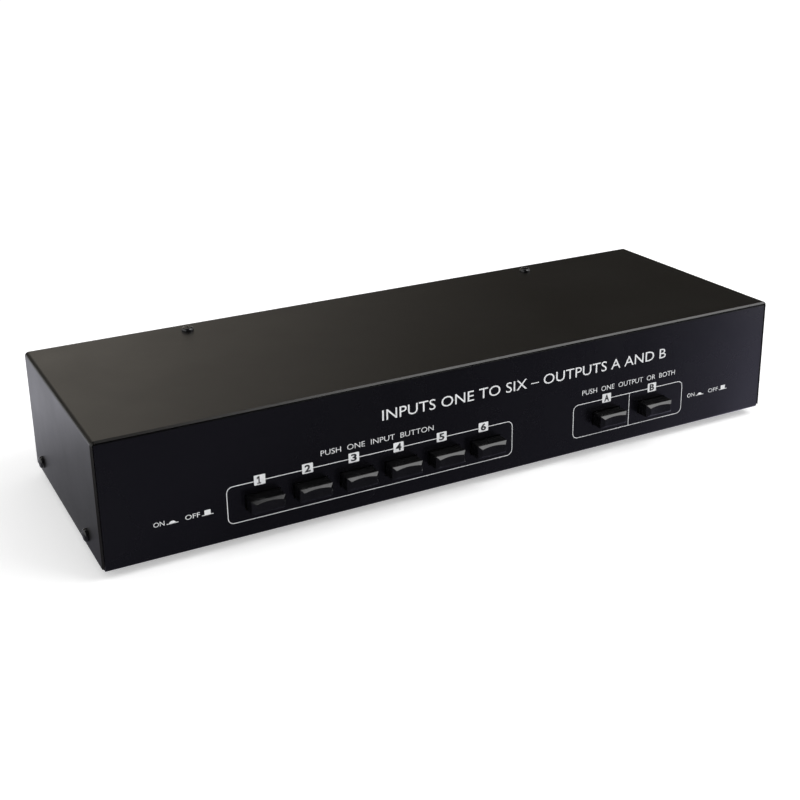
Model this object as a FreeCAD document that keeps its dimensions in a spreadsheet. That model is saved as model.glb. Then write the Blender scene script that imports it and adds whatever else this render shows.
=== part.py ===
import FreeCAD, Part
import os
import re
import Sketcher

# Speaker selector switch: six stereo amplifier inputs and two stereo speaker outputs, picked by
# eight push buttons, in a low case of folded sheet steel with spring-clip terminals at the rear.
# Millimetres. +X is to the right seen from the front, +Y is to the rear and +Z is up. The origin
# is under the middle of the whole switch, on the surface that its feet stand on.

DIMENSIONS = (
    # case
    ("case_width", 360, "outside width of the cover"),
    ("case_depth", 122, "front edge to rear edge of the cover"),
    ("case_height", 60, "underside of the tray to the top of the cover"),
    ("foot_height", 4, "height of a rubber foot"),
    ("foot_radius", 8, "radius of a rubber foot"),
    ("foot_edge", 0.8, "chamfer round a foot's sole"),
    ("foot_side", 30, "foot's centre in from the side of the case"),
    ("foot_end", 22, "foot's centre in from the front or rear of the case"),
    ("sheet_gauge", 1, "thickness of the steel sheet"),
    ("cover_bend", 2, "outside radius of the cover's bends"),
    ("tray_bend", 1.6, "outside radius of the tray's bends"),
    ("fold_gap", 0.35, "gap between cover and tray"),
    ("skirt_gap", 1.8, "cover's lower edge above the tray's underside"),
    ("panel_inset", 0.4, "front and rear walls in from the cover's edges"),
    ("front_lip", 8, "depth of the lip on the front wall"),
    ("rear_lip", 14, "depth of the lip on the rear wall"),
    ("side_flange", 14, "height of the tray's side flanges"),
    ("flange_end", 5, "side flange's end in from the front or rear wall"),
    # screws
    ("screw_radius", 1.5, "radius of every screw's thread"),
    ("screw_length", 6, "length of thread under a screw's head"),
    ("head_radius", 3, "radius of a screw's head"),
    ("head_height", 1.9, "height of a screw's head"),
    ("head_round", 1.3, "rounding of a screw's head"),
    ("recess_span", 3.4, "length of each bar of the cross recess"),
    ("recess_bar", 0.8, "width of each bar of the cross recess"),
    ("recess_depth", 1.1, "depth of the cross recess"),
    ("hole_ease", 0.2, "clearance round a screw in the sheet it holds"),
    ("thread_ease", 0.05, "clearance round a screw in its thread"),
    ("top_screw_side", 101, "top screw to the middle of the case"),
    ("top_screw_end", 10.5, "top screw to the cover's rear edge"),
    ("side_screw_front", 22.6, "front side screw to the cover's front edge"),
    ("side_screw_rear", 106, "rear side screw to the cover's front edge"),
    ("side_screw_rise", 8, "side screws above the tray's underside"),
    # buttons
    ("button_rise", 16.7, "button's axis above the tray's underside"),
    ("input_first", -107.2, "first input button's place across the case"),
    ("input_pitch", 22.8, "distance between input buttons"),
    ("output_first", 77.7, "first output button's place across the case"),
    ("output_pitch", 28.4, "distance between output buttons"),
    ("cap_width", 16, "width of a button cap"),
    ("cap_height", 6.5, "height of a button cap"),
    ("cap_proud", 8, "how far a released cap stands out of the panel"),
    ("cap_length", 14, "length of a button cap"),
    ("cap_chamfer", 1.4, "chamfer round a cap's face"),
    ("cap_edge", 0.4, "rounding of a cap's long edges"),
    ("cap_dish", 0.7, "depth of the hollow in a cap's face"),
    ("dish_margin", 0.3, "flat strip beside the hollow"),
    ("window_ease", 0.4, "gap round a cap in its window"),
    ("button_travel", 5, "travel of a button"),
    # switches
    ("plunger_size", 4, "side of the square plunger"),
    ("plunger_length", 62, "length of the plunger"),
    ("socket_ease", 0.05, "clearance round the plunger in its cap"),
    ("bore_ease", 0.2, "clearance round the plunger in its housing"),
    ("lug_reach", 0.8, "how far the plunger's lug stands out"),
    ("lug_height", 2, "height of the plunger's lug"),
    ("lug_length", 2.5, "length of the plunger's lug"),
    ("lug_ease", 0.1, "gap between a pressed button's lug and the latch bar"),
    ("bracket_start", 16, "bracket's face behind the panel"),
    ("bracket_height", 13, "height of the bracket above the board"),
    ("bracket_foot", 7, "depth of the bracket's foot"),
    ("bracket_end", 15, "bracket's end past its last button"),
    ("ear_length", 8, "depth of the ear that holds the latch bar's spring"),
    ("window_slack", 0.4, "gap round the plunger in bracket and bar"),
    ("housing_width", 10, "width of a switch housing"),
    ("housing_height", 12, "height of a switch housing"),
    ("housing_length", 44, "length of a switch housing"),
    ("channel_depth", 4, "depth of the channel for the latch bar"),
    ("channel_height", 8.6, "height of the channel for the latch bar"),
    ("bar_height", 8, "height of the latch bar"),
    ("bar_gauge", 0.8, "thickness of the latch bar"),
    ("bar_gap", 0.3, "gap between bracket and latch bar"),
    ("bar_end", 8, "latch bar's end past its last button"),
    ("bar_travel", 1.5, "travel of the latch bar"),
    ("pin_wide", 0.8, "width of a switch pin"),
    ("pin_thick", 0.4, "thickness of a switch pin"),
    ("pin_below", 1.5, "how far pins reach below the board"),
    ("pin_row", 7, "distance between a switch's two rows of pins"),
    ("pin_pitch", 6, "distance between pins in a row"),
    ("pin_first", 5, "first pin behind the latch bar's channel"),
    ("spring_radius", 3.4, "mean radius of a button's spring"),
    ("spring_pitch", 1.8, "pitch of a button's spring"),
    ("spring_wire", 0.3, "radius of the spring wire"),
    ("bar_spring_radius", 1.8, "mean radius of the latch bar's spring"),
    ("bar_spring_pitch", 1.2, "pitch of the latch bar's spring"),
    ("spring_ease", 0.1, "gap between a spring's wire and its seat"),
    # board
    ("board_rise", 9.1, "underside of the board above the tray's underside"),
    ("board_gauge", 1.6, "thickness of the board"),
    ("board_side", 170, "board's side edge to the middle of the case"),
    ("board_front", 8, "board's front edge behind the panel"),
    ("board_rear", 10, "board's rear edge in front of the rear wall"),
    ("post_radius", 3.5, "radius of the tray's pressed posts"),
    ("post_side", 160, "outer posts to the middle of the case"),
    ("post_front", 30, "front posts behind the panel"),
    ("post_rear", 96, "rear posts behind the panel"),
    ("post_middle", 42, "odd post's place across the case, and behind the panel"),
    ("bracket_post", 4, "bracket's screws past its last cap's side"),
    # terminals
    ("block_pitch", 86, "distance between terminal blocks"),
    ("block_width", 84, "width of a terminal block's flange"),
    ("block_height", 45, "height of a terminal block's flange"),
    ("block_rise", 30, "middle of the blocks above the tray's underside"),
    ("block_flange", 2.5, "thickness of a block's flange"),
    ("block_proud", 7, "how far a block stands out of the rear wall"),
    ("block_inside", 12, "how far a block reaches into the case"),
    ("block_corner", 1.5, "rounding of a block's corners"),
    ("core_width", 68, "width of a block inside its flange"),
    ("core_height", 38, "height of a block inside its flange"),
    ("core_ease", 0.3, "gap round a block in the rear wall"),
    ("block_screw", 38, "block's screws to its middle"),
    ("column_pitch", 17, "distance between terminals in a row"),
    ("upper_pivot", 12.3, "upper levers' pivot above the block's middle"),
    ("lower_pivot", -6.7, "lower levers' pivot above the block's middle"),
    ("pivot_out", 1.5, "levers' pivot outside the rear wall"),
    ("slot_width", 10.6, "width of a lever's slot"),
    ("slot_above", 5.2, "top of the slot above the pivot"),
    ("slot_below", 2.7, "bottom of the slot below the pivot"),
    ("cell_below", 10.4, "floor of a terminal's cell below the pivot"),
    ("cell_inside", 1, "front of a terminal's cell inside the rear wall"),
    ("wire_radius", 1.8, "radius of a wire's hole"),
    ("wire_below", 7.4, "wire's hole below the pivot"),
    ("wire_chamfer", 0.7, "chamfer round a wire's hole"),
    ("lever_width", 10, "width of a lever"),
    ("lever_reach", 12, "how far a lever stands out of the rear wall"),
    ("lever_corner", 1.2, "rounding of a lever's outer corners"),
    ("pivot_radius", 1.2, "radius of a lever's pivot"),
    ("pivot_ease", 0.08, "clearance round a lever's pivot"),
    ("pivot_length", 1.2, "length of each pivot stub"),
    ("groove_count", 3, "finger grooves across a lever"),
    ("groove_depth", 0.4, "depth of a finger groove"),
    ("groove_pitch", 1.4, "distance between finger grooves"),
    ("groove_first", 3.6, "first finger groove outside the pivot"),
    ("tab_start", 0.8, "start of the tab's straight top outside the pivot"),
    ("tab_start_top", 2.3, "top of the tab at its start above the pivot"),
    ("lip_start", 9.2, "foot of the lip at the tab's end outside the pivot"),
    ("lip_foot", 3.5, "foot of that lip above the pivot"),
    ("lip_width", 0.7, "width of that lip's top"),
    ("lip_top", 4.3, "top of that lip above the pivot"),
    ("tip_under", 2.3, "underside of the tab's tip above the pivot"),
    ("knee_out", 5.6, "bend in the tab's underside outside the pivot"),
    ("knee_under", 0.6, "bend in the tab's underside above the pivot"),
    ("belly_out", 1.9, "front of the lever's belly outside the pivot"),
    ("belly_under", 1.7, "lever's belly below the pivot"),
    ("prong_front", 3.1, "prongs' front inside the pivot"),
    ("prong_back", 4.9, "prongs' back inside the pivot"),
    ("prong_end", 9, "prongs' ends below the pivot"),
    ("shoulder_top", 0.6, "top of the prongs' back above the pivot"),
    ("hump_in", 1.6, "back of the lever's rounded top inside the pivot"),
    ("hump_top", 2.1, "back of the lever's rounded top above the pivot"),
    ("fork_gap", 5.2, "gap between the two prongs inside"),
    ("contact_gauge", 0.5, "thickness of a contact spring"),
    ("contact_gap", 0.2, "gap between a contact and the lever's prongs"),
    ("contact_width", 7, "width of a contact spring"),
    ("contact_window", 4, "width of the wire's window in a contact"),
    ("tail_width", 1.4, "width of a contact's tail"),
    ("lower_tail", 13.8, "lower row's tails inside the pivot"),
    ("upper_tail", 16.6, "upper row's tails inside the pivot"),
)

# Lengths that follow from the ones above.
DERIVED = {
    "tray_depth": "case_depth - 2 * panel_inset",
    "panel_y": "cap_proud - (cap_proud + tray_depth + lever_reach) / 2",
    "back_y": "panel_y + tray_depth",
    "cover_front_y": "panel_y - panel_inset",
    "cover_rear_y": "back_y + panel_inset",
    "tray_z": "foot_height",
    "top_z": "foot_height + case_height",
    "tray_top_z": "top_z - sheet_gauge - fold_gap",
    "tray_half": "case_width / 2 - sheet_gauge - fold_gap",
    "button_z": "tray_z + button_rise",
    "board_z": "tray_z + board_rise",
    "board_top_z": "board_z + board_gauge",
    "block_z": "tray_z + block_rise",
    "cap_back": "cap_length - cap_proud",
    "bar_start": "bracket_start + sheet_gauge + bar_gap",
    "housing_start": "bracket_start + sheet_gauge",
    "lug_start": "bar_start + bar_gauge + lug_ease - button_travel",
    "lug_end": "lug_start + lug_length",
    "tab_tip": "lever_reach - pivot_out",
    "screw_hole": "screw_radius + hole_ease",
    "thread_hole": "screw_radius + thread_ease",
    "spring_room": "bracket_start - cap_back - 2 * (spring_wire + spring_ease)",
}

SENSE = {"XY": 1, "XZ": -1, "YZ": 1}  # which way each origin plane's normal points
TOUCH = 0.01  # how near an edge's middle is to the place that names it
INPUTS = ("1", "2", "3", "4", "5", "6")
OUTPUTS = ("a", "b")
SIDES = (-1, 1)
FOUR_PLACES = (-1.5, -0.5, 0.5, 1.5)  # four like things about a middle, in steps of their pitch
PINS_IN_A_ROW = 6

doc = FreeCAD.newDocument("SpeakerSelector")
sheet = doc.addObject("Spreadsheet::Sheet", "Sizes")
for row, (alias, size, meaning) in enumerate(DIMENSIONS, start=1):
    sheet.set(f"A{row}", meaning)
    sheet.set(f"B{row}", str(size))
    sheet.setAlias(f"B{row}", alias)
doc.recompute()

ALIASES = {alias for alias, size, meaning in DIMENSIONS}
nodes = []
plane_of = {}


# ---------------------------------------------------------------- ways of working


def formula(words):
    """The words as an expression on the sheet."""

    def spell(match):
        word = match.group(0)
        if word in DERIVED:
            return "(" + formula(DERIVED[word]) + ")"
        return "Sizes." + word if word in ALIASES else word

    return re.sub(r"[a-z_][a-z_0-9]*", spell, str(words))


def value(words):
    return float(sheet.evalExpression(formula(words)))


def bind(thing, **sizes):
    for name, words in sizes.items():
        thing.setExpression(name, formula(words))
    return thing


def place(thing, x=0, y=0, z=0, turn=None):
    """Put a thing at x, y, z, turned by an axis and an angle."""
    if turn:
        thing.Placement.Rotation = FreeCAD.Rotation(FreeCAD.Vector(*turn[0]), turn[1])
    for letter, words in zip("xyz", (x, y, z)):
        thing.setExpression("Placement.Base." + letter, formula(words))
    return thing


def new_body(name):
    made = doc.addObject("PartDesign::Body", name)
    made.Label = name
    return made


def node(thing, name):
    """Name a finished sub-part, which gets a file of its own."""
    thing.Label = name
    nodes.append(thing)
    return thing


def copy_of(pattern, name, x=0, y=0, z=0, turn=None):
    """A like piece in another place. The pattern itself stays at the origin and isn't written."""
    made = doc.addObject("Part::Compound", name)
    made.Links = [pattern]
    return place(made, x, y, z, turn)


def group(name, pieces):
    """Several separate pieces that share one sub-part."""
    made = doc.addObject("Part::Compound", name)
    made.Links = pieces
    return node(made, name)


def sketch(made, plane, at=0):
    """A sketch on the body's own plane, at a place along the axis across it."""
    drawn = made.newObject("Sketcher::SketchObject", made.Name + "_sketch")
    role = plane + "_Plane"
    origin_plane = next(f for f in made.Origin.OriginFeatures if f.Role == role)
    drawn.AttachmentSupport = [(origin_plane, "")]
    drawn.MapMode = "FlatFace"
    drawn.setExpression("AttachmentOffset.Base.z", formula(f"{SENSE[plane]} * ({at})"))
    plane_of[drawn.Name] = plane
    return drawn


def hold(drawn, line, point, x, y):
    """Hold one point of a sketch at x, y."""
    for kind, words in (("DistanceX", x), ("DistanceY", y)):
        rule = Sketcher.Constraint(kind, -1, 1, line, point, value(words))
        drawn.setExpression(f"Constraints[{drawn.addConstraint(rule)}]", formula(words))


def outline(drawn, corners):
    """Draw a closed outline of straight lines from corner to corner."""
    first = drawn.GeometryCount
    points = [FreeCAD.Vector(value(x), value(y), 0) for x, y in corners]
    count = len(points)
    for i in range(count):
        drawn.addGeometry(Part.LineSegment(points[i], points[(i + 1) % count]))
    for i in range(count):
        after = first + (i + 1) % count
        drawn.addConstraint(Sketcher.Constraint("Coincident", first + i, 2, after, 1))
        hold(drawn, first + i, 1, *corners[i])
    return drawn


def rectangle(drawn, x, y, width, height):
    """Draw a rectangle round its centre."""
    left, right = f"{x} - ({width}) / 2", f"{x} + ({width}) / 2"
    low, high = f"{y} - ({height}) / 2", f"{y} + ({height}) / 2"
    return outline(drawn, [(left, low), (right, low), (right, high), (left, high)])


def circle(drawn, x, y, radius):
    up = FreeCAD.Vector(0, 0, 1)
    ring = Part.Circle(FreeCAD.Vector(value(x), value(y), 0), up, value(radius))
    index = drawn.addGeometry(ring)
    hold(drawn, index, 3, x, y)
    rule = drawn.addConstraint(Sketcher.Constraint("Radius", index, value(radius)))
    drawn.setExpression(f"Constraints[{rule}]", formula(radius))
    return drawn


def feature(drawn, kind, length, towards, outward):
    made = drawn.getParentGeoFeatureGroup()
    step = made.newObject("PartDesign::" + kind, made.Name + "_" + kind.lower())
    step.Profile = drawn
    if towards == "both":
        step.Midplane = True
    else:
        step.Reversed = towards * SENSE[plane_of[drawn.Name]] != outward
    return bind(step, Length=length)


def pad(drawn, length, towards=1):
    """Add the sketch's shape, towards + or - of the axis across it, or both ways."""
    return feature(drawn, "Pad", length, towards, 1)


def pocket(drawn, depth, towards=1):
    """Cut the sketch's shape away, towards + or - of the axis across it, or both ways."""
    return feature(drawn, "Pocket", depth, towards, -1)


def is_at(edge, **place_of):
    """Whether an edge's middle is at the given x, y or z."""
    middle = edge.CenterOfMass
    return all(abs(getattr(middle, axis) - value(words)) < TOUCH for axis, words in place_of.items())


def is_ring(edge, radius):
    """Whether an edge is a circle of the given radius."""
    return abs(getattr(edge.Curve, "Radius", 0) - value(radius)) < TOUCH


def ease_edges(step, kind, chosen, **size):
    """Fillet or chamfer the chosen edges of a step."""
    doc.recompute()
    picked = [f"Edge{i}" for i, edge in enumerate(step.Shape.Edges, start=1) if chosen(edge)]
    made = step.getParentGeoFeatureGroup()
    eased = made.newObject("PartDesign::" + kind, made.Name + "_" + kind.lower())
    eased.Base = (step, picked)
    return bind(eased, **size)


def input_x(index):
    return f"input_first + {index} * input_pitch"


def output_x(index):
    return f"output_first + {index} * output_pitch"


BUTTONS = [(name, input_x(i)) for i, name in enumerate(INPUTS)]
BUTTONS += [(name, output_x(i)) for i, name in enumerate(OUTPUTS)]


# ---------------------------------------------------------------- top cover
# One sheet folded down at both ends, with holes for two screws on top and two in each side.


def make_cover():
    cover = new_body("top_cover")
    blank = sketch(cover, "XZ", at="cover_front_y")
    skirt_z = "tray_z + skirt_gap"
    half = "case_width / 2"
    outline(blank, [("-" + half, skirt_z), (half, skirt_z), (half, "top_z"), ("-" + half, "top_z")])
    block = pad(blank, "case_depth")
    ease_edges(
        block, "Fillet", lambda edge: is_at(edge, z="top_z", y="cover_front_y + case_depth / 2"),
        Radius="cover_bend",
    )
    inner_half = f"{half} - sheet_gauge"
    inner_z = "top_z - sheet_gauge"
    hollow = sketch(cover, "XZ", at="cover_front_y")
    outline(hollow, [
        (f"sheet_gauge - {half}", skirt_z), (inner_half, skirt_z),
        (inner_half, inner_z), (f"sheet_gauge - {half}", inner_z),
    ])
    shell = pocket(hollow, "case_depth")
    ease_edges(
        shell, "Fillet", lambda edge: is_at(edge, z=inner_z, y="cover_front_y + case_depth / 2"),
        Radius="cover_bend - sheet_gauge",
    )
    top_holes = sketch(cover, "XY", at="top_z")
    for side in SIDES:
        circle(top_holes, f"{side} * top_screw_side", "cover_rear_y - top_screw_end", "screw_hole")
    pocket(top_holes, "2 * sheet_gauge", towards=-1)
    side_holes = sketch(cover, "YZ")
    for along in ("side_screw_front", "side_screw_rear"):
        circle(side_holes, f"cover_front_y + {along}", "tray_z + side_screw_rise", "screw_hole")
    pocket(side_holes, "2 * case_width", towards="both")
    return node(cover, "top_cover")


# ---------------------------------------------------------------- chassis tray
# Bottom, front wall and rear wall in one folded sheet, with lips under the cover, side flanges
# for the cover's screws, windows for the buttons and terminals, and posts under the board.


def post_places():
    """Posts for the board's own screws, then for the ones that also hold the brackets."""
    posts = [(f"{side} * post_side", "post_front") for side in SIDES]
    posts += [(f"{side} * post_side", "post_rear") for side in SIDES]
    posts += [("post_middle", "post_middle"), ("0", "post_rear")]
    reach = "(cap_width / 2 + bracket_post)"
    along = "bracket_start - bracket_foot / 2"
    for first, last in ((input_x(0), input_x(len(INPUTS) - 1)), (output_x(0), output_x(len(OUTPUTS) - 1))):
        posts += [(f"{first} - {reach}", along), (f"{last} + {reach}", along)]
    return posts


def make_tray():
    tray = new_body("chassis_tray")
    folded = sketch(tray, "YZ")
    inner_front, inner_back = "panel_y + sheet_gauge", "back_y - sheet_gauge"
    floor, ceiling = "tray_z + sheet_gauge", "tray_top_z - sheet_gauge"
    outline(folded, [
        ("panel_y + front_lip", "tray_top_z"), ("panel_y", "tray_top_z"), ("panel_y", "tray_z"),
        ("back_y", "tray_z"), ("back_y", "tray_top_z"), ("back_y - rear_lip", "tray_top_z"),
        ("back_y - rear_lip", ceiling), (inner_back, ceiling), (inner_back, floor),
        (inner_front, floor), (inner_front, ceiling), ("panel_y + front_lip", ceiling),
    ])
    sheet_metal = pad(folded, "2 * tray_half", towards="both")
    outer = [(y, z) for y in ("panel_y", "back_y") for z in ("tray_z", "tray_top_z")]
    inner = [(y, z) for y in (inner_front, inner_back) for z in (floor, ceiling)]
    bent = ease_edges(
        sheet_metal, "Fillet", lambda edge: any(is_at(edge, x=0, y=y, z=z) for y, z in outer),
        Radius="tray_bend",
    )
    ease_edges(
        bent, "Fillet", lambda edge: any(is_at(edge, x=0, y=y, z=z) for y, z in inner),
        Radius="tray_bend - sheet_gauge",
    )
    for side in SIDES:
        flange = sketch(tray, "YZ", at=f"{side} * tray_half")
        front, rear = "panel_y + flange_end", "back_y - flange_end"
        low, high = "tray_z", "tray_z + side_flange"
        outline(flange, [(front, low), (rear, low), (rear, high), (front, high)])
        pad(flange, "sheet_gauge", towards=-side)
    posts = sketch(tray, "XY", at=floor)
    for x, along in post_places():
        circle(posts, x, f"panel_y + {along}", "post_radius")
        circle(posts, x, f"panel_y + {along}", "thread_hole")
    pad(posts, "board_rise - sheet_gauge")
    windows = sketch(tray, "XZ", at="panel_y")
    for name, x in BUTTONS:
        rectangle(windows, x, "button_z", "cap_width + 2 * window_ease", "cap_height + 2 * window_ease")
    pocket(windows, "2 * sheet_gauge")
    openings = sketch(tray, "XZ", at="back_y")
    for x in block_places():
        rectangle(openings, x, "block_z", "core_width + 2 * core_ease", "core_height + 2 * core_ease")
        for side in SIDES:
            circle(openings, f"{x} + {side} * block_screw", "block_z", "thread_hole")
    pocket(openings, "2 * sheet_gauge", towards=-1)
    lip_holes = sketch(tray, "XY", at="tray_top_z")
    for side in SIDES:
        circle(lip_holes, f"{side} * top_screw_side", "cover_rear_y - top_screw_end", "thread_hole")
    pocket(lip_holes, "2 * sheet_gauge", towards=-1)
    flange_holes = sketch(tray, "YZ")
    for along in ("side_screw_front", "side_screw_rear"):
        circle(flange_holes, f"cover_front_y + {along}", "tray_z + side_screw_rise", "thread_hole")
    pocket(flange_holes, "2 * case_width", towards="both")
    return node(tray, "chassis_tray")


def block_places():
    return [f"{step} * block_pitch" for step in FOUR_PLACES]


# ---------------------------------------------------------------- feet and screws


def make_feet():
    """Four rubber feet stuck under the tray."""
    foot = new_body("foot_pattern")
    disc = pad(circle(sketch(foot, "XY"), 0, 0, "foot_radius"), "foot_height")
    ease_edges(disc, "Chamfer", lambda edge: is_at(edge, z=0), Size="foot_edge")
    feet = []
    for side in SIDES:
        for end, y in (("front", "cover_front_y + foot_end"), ("rear", "cover_rear_y - foot_end")):
            x = f"{side} * (case_width / 2 - foot_side)"
            feet.append(copy_of(foot, f"foot_{end}_{len(feet)}", x, y))
    return group("rubber_feet", feet)


def make_screw():
    """A pan-head screw with a cross recess, its head on z = 0 and its thread below."""
    screw = new_body("screw_pattern")
    half = sketch(screw, "XZ")
    outline(half, [
        (0, "-screw_length"), ("screw_radius", "-screw_length"), ("screw_radius", 0), ("head_radius", 0),
        ("head_radius", "head_height"), (0, "head_height"),
    ])
    turned = screw.newObject("PartDesign::Revolution", "screw_revolution")
    turned.Profile = half
    turned.ReferenceAxis = (half, ["V_Axis"])
    ease_edges(
        turned, "Fillet", lambda edge: is_at(edge, z="head_height") and is_ring(edge, "head_radius"),
        Radius="head_round",
    )
    arm, bar = "recess_span / 2", "recess_bar / 2"
    recess = sketch(screw, "XY", at="head_height")
    outline(recess, [
        (arm, "-" + bar), (arm, bar), (bar, bar), (bar, arm), ("-" + bar, arm), ("-" + bar, bar),
        ("-" + arm, bar), ("-" + arm, "-" + bar), ("-" + bar, "-" + bar), ("-" + bar, "-" + arm),
        (bar, "-" + arm), (bar, "-" + bar),
    ])
    pocket(recess, "recess_depth", towards=-1)
    return screw


def make_case_screws(screw):
    """Black screws: two on top, two in each side, and two through each terminal block."""
    screws = []
    for side in SIDES:
        y = "cover_rear_y - top_screw_end"
        screws.append(copy_of(screw, f"top_screw_{len(screws)}", f"{side} * top_screw_side", y, "top_z"))
    for side in SIDES:
        for along in ("side_screw_front", "side_screw_rear"):
            screws.append(copy_of(
                screw, f"side_screw_{len(screws)}", f"{side} * case_width / 2", f"cover_front_y + {along}",
                "tray_z + side_screw_rise", turn=((0, 1, 0), 90 * side),
            ))
    for x in block_places():
        for side in SIDES:
            screws.append(copy_of(
                screw, f"block_screw_{len(screws)}", f"{x} + {side} * block_screw", "back_y + block_flange",
                "block_z", turn=((1, 0, 0), -90),
            ))
    return group("case_screws", screws)


def make_board_screws(screw):
    """Zinc screws into the tray's posts. The last four also go through the brackets' feet."""
    screws = []
    places = post_places()
    for index, (x, along) in enumerate(places):
        under = "board_top_z + sheet_gauge" if index >= len(places) - 4 else "board_top_z"
        screws.append(copy_of(screw, f"board_screw_{index}", x, f"panel_y + {along}", under))
    return group("board_screws", screws)


# ---------------------------------------------------------------- buttons
# Moulded caps with a dished face, pushed on square plungers that run back through the switches.


def make_cap():
    """A cap about its button's axis, with y = 0 on the panel."""
    cap = new_body("cap_pattern")
    block = pad(rectangle(sketch(cap, "XZ", at="-cap_proud"), 0, 0, "cap_width", "cap_height"), "cap_length")
    faced = ease_edges(block, "Chamfer", lambda edge: is_at(edge, y="-cap_proud"), Size="cap_chamfer")
    middle = "(cap_length + cap_chamfer) / 2 - cap_proud"
    ease_edges(faced, "Fillet", lambda edge: is_at(edge, y=middle), Radius="cap_edge")
    chord = "(cap_width / 2 - cap_chamfer - dish_margin)"
    bow = f"(({chord} * {chord} + cap_dish * cap_dish) / (2 * cap_dish))"
    hollow = circle(sketch(cap, "XY"), 0, f"cap_dish - cap_proud - {bow}", bow)
    pocket(hollow, "2 * cap_height", towards="both")
    side = "plunger_size + 2 * socket_ease"
    pocket(rectangle(sketch(cap, "XZ", at="cap_back"), 0, 0, side, side), "cap_back", towards=-1)
    return cap


def make_plunger():
    """A square rod with a lug on its right side, ramped to the rear and steep where it is caught."""
    plunger = new_body("plunger_pattern")
    pad(rectangle(sketch(plunger, "XZ"), 0, 0, "plunger_size", "plunger_size"), "plunger_length")
    lug = sketch(plunger, "XY")
    root, tip = "plunger_size / 2", "plunger_size / 2 + lug_reach"
    ramp = "lug_start + lug_length / 2"
    outline(lug, [(root, "lug_start"), (root, "lug_end"), (tip, ramp), (tip, "lug_start")])
    pad(lug, "lug_height", towards="both")
    return plunger


# ---------------------------------------------------------------- switches


def make_switch_housings():
    """Push-switch bodies with two rows of six pins, and a channel in front for the latch bar."""
    housing = new_body("switch_housing_pattern")
    across = sketch(housing, "XZ", at="housing_start")
    bottom, half = "board_top_z - button_z", "housing_width / 2"
    top = f"{bottom} + housing_height"
    outline(across, [("-" + half, bottom), (half, bottom), (half, top), ("-" + half, top)])
    bore = "plunger_size + 2 * bore_ease"
    rectangle(across, 0, 0, bore, bore)
    pad(across, "housing_length")
    channel = sketch(housing, "XZ", at="housing_start")
    pocket(rectangle(channel, 0, 0, "2 * housing_width", "channel_height"), "channel_depth")
    pins = sketch(housing, "XY", at=bottom)
    for side in SIDES:
        for step in range(PINS_IN_A_ROW):
            y = f"housing_start + channel_depth + {step} * pin_pitch + pin_first"
            rectangle(pins, f"{side} * pin_row / 2", y, "pin_thick", "pin_wide")
    pad(pins, "board_gauge + pin_below", towards=-1)
    return group("switch_housings", [
        copy_of(housing, f"switch_housing_{name}", x, "panel_y", "button_z") for name, x in BUTTONS
    ])


def make_bracket(name, places, with_ear):
    """A folded rail that the plungers pass through, its foot screwed down on the board."""
    bracket = new_body(name)
    left, right = f"{places[0]} - bracket_end", f"{places[-1]} + bracket_end"
    face = sketch(bracket, "XZ", at="panel_y + bracket_start")
    top = "board_top_z + bracket_height"
    outline(face, [(left, "board_top_z"), (right, "board_top_z"), (right, top), (left, top)])
    wide = "plunger_size + lug_reach + 2 * window_slack"
    for x in places:
        rectangle(face, f"{x} + lug_reach / 2", "button_z", wide, "plunger_size + 2 * window_slack")
    if with_ear:
        spring_end = f"{places[-1]} + (bar_end + bracket_end - sheet_gauge) / 2"
        clear = "2 * (bar_spring_radius + spring_wire + window_slack)"
        rectangle(face, spring_end, "button_z", "bracket_end - sheet_gauge - bar_end", clear)
    pad(face, "sheet_gauge")
    foot = sketch(bracket, "XY", at="board_top_z")
    front = "panel_y + bracket_start - bracket_foot"
    back = "panel_y + bracket_start + sheet_gauge"
    outline(foot, [(left, front), (right, front), (right, back), (left, back)])
    reach = "(cap_width / 2 + bracket_post)"
    for x in (f"{places[0]} - {reach}", f"{places[-1]} + {reach}"):
        circle(foot, x, "panel_y + bracket_start - bracket_foot / 2", "screw_hole")
    pad(foot, "sheet_gauge")
    if with_ear:
        ear = sketch(bracket, "YZ", at=right)
        low, start, end = "board_top_z", "panel_y + bracket_start", "panel_y + bracket_start + ear_length"
        outline(ear, [(start, low), (end, low), (end, top), (start, top)])
        pad(ear, "sheet_gauge", towards=-1)
    return bracket


def make_brackets():
    return group("switch_brackets", [
        make_bracket("input_bracket", [input_x(i) for i in range(len(INPUTS))], with_ear=True),
        make_bracket("output_bracket", [output_x(i) for i in range(len(OUTPUTS))], with_ear=False),
    ])


def make_latch_bar():
    """A strip with a window for each input plunger. It slides to the right against its spring."""
    bar = new_body("latch_bar")
    strip = sketch(bar, "XZ", at="panel_y + bar_start")
    left, right = f"{input_x(0)} - bar_end", f"{input_x(len(INPUTS) - 1)} + bar_end"
    low, high = "button_z - bar_height / 2", "button_z + bar_height / 2"
    outline(strip, [(left, low), (right, low), (right, high), (left, high)])
    for i in range(len(INPUTS)):
        wide = "plunger_size + lug_reach + bar_travel + 2 * window_slack"
        centre = f"{input_x(i)} + (lug_reach - bar_travel) / 2"
        rectangle(strip, centre, "button_z", wide, "plunger_size + 2 * window_slack")
    pad(strip, "bar_gauge")
    return node(bar, "latch_bar")


def make_spring(name, radius, pitch, room):
    """A coil of round wire along Z, from the origin up."""
    coil = bind(doc.addObject("Part::Helix", name + "_coil"), Radius=radius, Pitch=pitch, Height=room)
    wire = bind(doc.addObject("Part::Circle", name + "_wire"), Radius="spring_wire")
    place(wire, radius, turn=((1, 0, 0), 90))
    swept = doc.addObject("Part::Sweep", name)
    swept.Sections = [wire]
    swept.Spine = (coil, ["Edge1"])
    swept.Solid = True
    swept.Frenet = True
    return swept


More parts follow.
